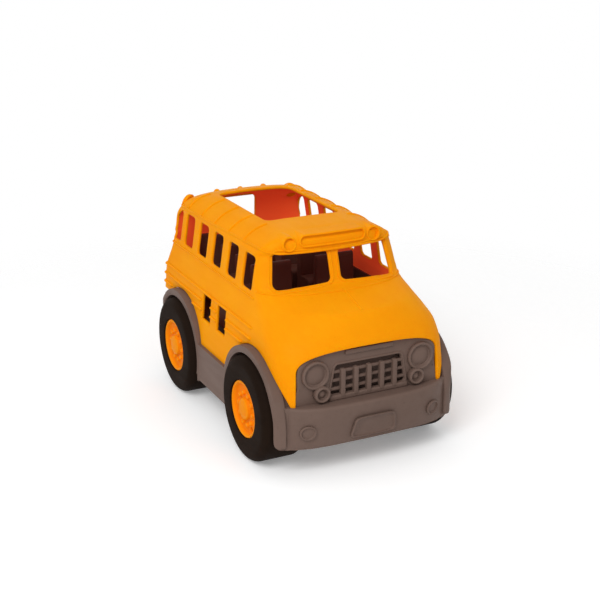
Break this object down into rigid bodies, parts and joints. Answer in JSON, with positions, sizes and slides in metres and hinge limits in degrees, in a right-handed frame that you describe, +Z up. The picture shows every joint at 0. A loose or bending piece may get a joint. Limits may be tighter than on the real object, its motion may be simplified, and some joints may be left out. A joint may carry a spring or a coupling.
{
  "type": "toy bus",
  "caption": "Chunky moulded toy bus with open windows and roof, an arched hood over a barred grille, bare bumper and sign, seats inside and free-rolling wheels on through axles.",
  "frame": {"origin": "on the floor under the middle of the bus", "axes": "+Z up, -Y towards the front of the bus, +X towards its left-hand side"},
  "size_m": [0.172, 0.2658, 0.1769],
  "materials": {
    "shell": "satin moulded plastic",
    "trim": "matte moulded plastic",
    "seats": "matte moulded plastic",
    "hubs": "satin moulded plastic",
    "tyres": "matte moulded plastic",
    "steel": "bright zinc"
  },
  "bodies": {
    "bus": {"body_shell": "shell", "grille_panel": "trim", "chassis": "trim", "seat_deck": "seats", "body_screws": "steel", "seat_screws": "steel"},
    "front_wheels": {"axle_front": "steel", "hub_front_right": "hubs", "hub_front_left": "hubs", "tyre_front_right": "tyres", "tyre_front_left": "tyres"},
    "rear_wheels": {"axle_rear": "steel", "hub_rear_right": "hubs", "hub_rear_left": "hubs", "tyre_rear_right": "tyres", "tyre_rear_left": "tyres"}
  },
  "joints": [
    {"name": "front_wheels_roll", "type": "hinge", "parent": "bus", "child": "front_wheels", "pos_m": [0, -0.075, 0.043], "axis": [1, 0, 0], "continuous": true},
    {"name": "rear_wheels_roll", "type": "hinge", "parent": "bus", "child": "rear_wheels", "pos_m": [0, 0.08, 0.043], "axis": [1, 0, 0], "continuous": true}
  ]
}
